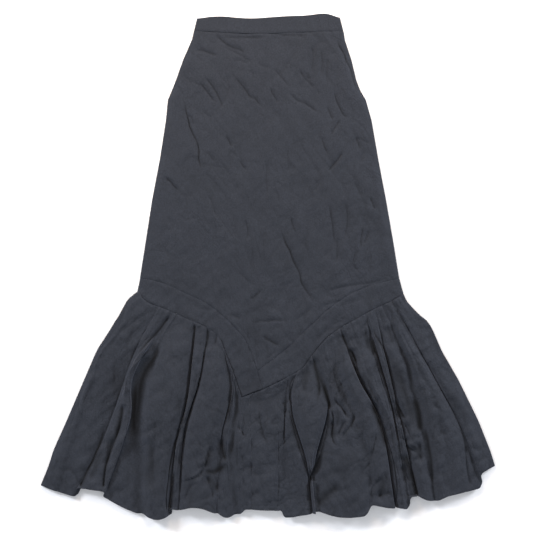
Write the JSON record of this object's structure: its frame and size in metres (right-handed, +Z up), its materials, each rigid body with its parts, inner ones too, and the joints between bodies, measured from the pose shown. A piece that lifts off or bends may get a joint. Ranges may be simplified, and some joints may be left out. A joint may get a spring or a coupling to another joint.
{
  "type": "maxi skirt",
  "caption": "Long skirt laid flat, front up, with a flat waistband, A-line body, pointed band at the front and a full folded flounce.",
  "frame": {"origin": "on the surface it lies on, under the centre of the skirt's bounding box", "axes": "+Y from the hem to the waistband, +X to the right as the front is seen, +Z up out of the front"},
  "size_m": [0.953, 1.0582, 0.0196],
  "materials": {
    "cloth": "matt woven cloth with a soft sheen, dark navy grey",
    "waistband_cloth": "the same cloth, doubled and pressed flat"
  },
  "bodies": {
    "root": {"waistband": "waistband_cloth", "front_panel": "cloth", "back_panel": "cloth", "front_band_left": "cloth", "front_band_right": "cloth", "back_band": "cloth", "front_flounce_left": "cloth", "front_flounce_centre": "cloth", "front_flounce_right": "cloth", "back_flounce": "cloth"}
  },
  "joints": []
}
